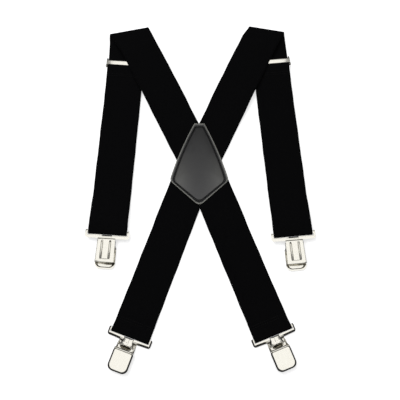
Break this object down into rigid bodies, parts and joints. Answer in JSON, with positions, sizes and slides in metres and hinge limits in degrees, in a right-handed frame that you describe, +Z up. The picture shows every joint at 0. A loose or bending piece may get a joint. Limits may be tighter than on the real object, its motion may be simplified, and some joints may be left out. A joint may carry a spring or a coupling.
{
  "type": "suspenders",
  "caption": "Wide elastic X-back suspenders laid flat: webbing straps cross under a leather patch and fold over at the shoulders, with sliding adjusters and hinged metal clips at the ends.",
  "frame": {"origin": "middle of the base of the object's box, on the surface it lies on", "axes": "+Z up from the surface; +Y from the back clips towards the shoulder folds; +X to the right when the back patch faces up"},
  "size_m": [0.297, 0.4724, 0.0113],
  "materials": {
    "webbing": "matte woven elastic, fine ribs across",
    "patch_leather": "semi-gloss black finished leather",
    "thread": "black bonded sewing thread",
    "nickel_steel": "bright nickel-plated pressed steel",
    "grip_plastic": "moulded, toothed"
  },
  "bodies": {
    "straps": {"left_strap": "webbing", "right_strap": "webbing", "patch_back": "patch_leather", "patch_face": "patch_leather", "patch_stitching": "thread", "left_front_web": "webbing", "right_front_web": "webbing"},
    "front_left_loop": {"left_clip_loop": "webbing", "left_return_web": "webbing"},
    "left_adjuster": {"left_adjuster_frame": "nickel_steel", "left_adjuster_rod": "nickel_steel", "left_return_hem": "webbing"},
    "left_adjuster_lever": {"left_adjuster_lever": "nickel_steel"},
    "front_right_loop": {"right_clip_loop": "webbing", "right_return_web": "webbing"},
    "right_adjuster": {"right_adjuster_frame": "nickel_steel", "right_adjuster_rod": "nickel_steel", "right_return_hem": "webbing"},
    "right_adjuster_lever": {"right_adjuster_lever": "nickel_steel"},
    "front_left_clip": {"front_left_clip_frame": "nickel_steel", "front_left_clip_pin": "nickel_steel", "front_left_clip_frame_pad": "grip_plastic"},
    "front_left_jaw": {"front_left_clip_jaw": "nickel_steel", "front_left_clip_jaw_pad": "grip_plastic"},
    "front_left_lever": {"front_left_clip_lever": "nickel_steel"},
    "front_right_clip": {"front_right_clip_frame": "nickel_steel", "front_right_clip_pin": "nickel_steel", "front_right_clip_frame_pad": "grip_plastic"},
    "front_right_jaw": {"front_right_clip_jaw": "nickel_steel", "front_right_clip_jaw_pad": "grip_plastic"},
    "front_right_lever": {"front_right_clip_lever": "nickel_steel"},
    "back_left_clip": {"back_left_clip_frame": "nickel_steel", "back_left_clip_pin": "nickel_steel", "back_left_clip_frame_pad": "grip_plastic"},
    "back_left_jaw": {"back_left_clip_jaw": "nickel_steel", "back_left_clip_jaw_pad": "grip_plastic"},
    "back_left_lever": {"back_left_clip_lever": "nickel_steel"},
    "back_right_clip": {"back_right_clip_frame": "nickel_steel", "back_right_clip_pin": "nickel_steel", "back_right_clip_frame_pad": "grip_plastic"},
    "back_right_jaw": {"back_right_clip_jaw": "nickel_steel", "back_right_clip_jaw_pad": "grip_plastic"},
    "back_right_lever": {"back_right_clip_lever": "nickel_steel"}
  },
  "joints": [
    {"name": "left_front_length", "type": "slide", "parent": "straps", "child": "front_left_loop", "axis": [-0.0698, -0.9976, 0], "range_m": [0, 0.05], "deforming": ["left_front_web"]},
    {"name": "left_adjuster_slide", "type": "slide", "parent": "front_left_loop", "child": "left_adjuster", "axis": [-0.0698, -0.9976, 0], "range_m": [0, 0.05], "deforming": ["left_return_web"]},
    {"name": "left_adjuster_lever_hinge", "type": "hinge", "parent": "left_adjuster", "child": "left_adjuster_lever", "pos_m": [-0.10269, 0.1854, 0.001], "axis": [0.9976, -0.0698, 0], "range_deg": [0, 95]},
    {"name": "right_front_length", "type": "slide", "parent": "straps", "child": "front_right_loop", "axis": [0.0906, -0.9959, 0], "range_m": [0, 0.05], "deforming": ["right_front_web"]},
    {"name": "right_adjuster_slide", "type": "slide", "parent": "front_right_loop", "child": "right_adjuster", "axis": [0.0906, -0.9959, 0], "range_m": [0, 0.05], "deforming": ["right_return_web"]},
    {"name": "right_adjuster_lever_hinge", "type": "hinge", "parent": "right_adjuster", "child": "right_adjuster_lever", "pos_m": [0.09706, 0.18785, 0.001], "axis": [0.9959, 0.0906, 0], "range_deg": [0, 95]},
    {"name": "front_left_clip_swing", "type": "hinge", "parent": "front_left_loop", "child": "front_left_clip", "pos_m": [-0.11984, -0.0599, 0.00755], "axis": [-0.9976, 0.0698, 0], "range_deg": [-85, 85]},
    {"name": "front_left_lever_hinge", "type": "hinge", "parent": "front_left_clip", "child": "front_left_lever", "pos_m": [-0.12124, -0.07985, 0.00175], "axis": [0.9976, -0.0698, 0], "range_deg": [0, 110]},
    {"name": "front_left_jaw_hinge", "type": "hinge", "parent": "front_left_clip", "child": "front_left_jaw", "pos_m": [-0.12023, -0.06538, 0.00755], "axis": [0.9976, -0.0698, 0], "range_deg": [0, 8]},
    {"name": "front_right_clip_swing", "type": "hinge", "parent": "front_right_loop", "child": "front_right_clip", "pos_m": [0.1198, -0.06201, 0.00755], "axis": [-0.9959, -0.0906, 0], "range_deg": [-85, 85]},
    {"name": "front_right_lever_hinge", "type": "hinge", "parent": "front_right_clip", "child": "front_right_lever", "pos_m": [0.12162, -0.08193, 0.00175], "axis": [0.9959, 0.0906, 0], "range_deg": [0, 110]},
    {"name": "front_right_jaw_hinge", "type": "hinge", "parent": "front_right_clip", "child": "front_right_jaw", "pos_m": [0.1203, -0.06749, 0.00755], "axis": [0.9959, 0.0906, 0], "range_deg": [0, 8]},
    {"name": "back_left_clip_swing", "type": "hinge", "parent": "straps", "child": "back_left_clip", "pos_m": [-0.08704, -0.18962, 0.00345], "axis": [0.9379, -0.3469, 0], "range_deg": [-85, 85]},
    {"name": "back_left_lever_hinge", "type": "hinge", "parent": "back_left_clip", "child": "back_left_lever", "pos_m": [-0.09398, -0.20838, 0.00925], "axis": [-0.9379, 0.3469, 0], "range_deg": [0, 110]},
    {"name": "back_left_jaw_hinge", "type": "hinge", "parent": "back_left_clip", "child": "back_left_jaw", "pos_m": [-0.08895, -0.19478, 0.00345], "axis": [-0.9379, 0.3469, 0], "range_deg": [0, 8]},
    {"name": "back_right_clip_swing", "type": "hinge", "parent": "straps", "child": "back_right_clip", "pos_m": [0.09053, -0.18742, 0.00345], "axis": [0.9278, 0.373, 0], "range_deg": [-85, 85]},
    {"name": "back_right_lever_hinge", "type": "hinge", "parent": "back_right_clip", "child": "back_right_lever", "pos_m": [0.09799, -0.20598, 0.00925], "axis": [-0.9278, -0.373, 0], "range_deg": [0, 110]},
    {"name": "back_right_jaw_hinge", "type": "hinge", "parent": "back_right_clip", "child": "back_right_jaw", "pos_m": [0.09258, -0.19253, 0.00345], "axis": [-0.9278, -0.373, 0], "range_deg": [0, 8]}
  ],
  "couplings": [
    {"joint": "left_adjuster_slide", "follows": "left_front_length", "ratio": 1},
    {"joint": "right_adjuster_slide", "follows": "right_front_length", "ratio": 1},
    {"joint": "front_left_jaw_hinge", "follows": "front_left_lever_hinge", "ratio": 0.06},
    {"joint": "front_right_jaw_hinge", "follows": "front_right_lever_hinge", "ratio": 0.06},
    {"joint": "back_left_jaw_hinge", "follows": "back_left_lever_hinge", "ratio": 0.06},
    {"joint": "back_right_jaw_hinge", "follows": "back_right_lever_hinge", "ratio": 0.06}
  ]
}
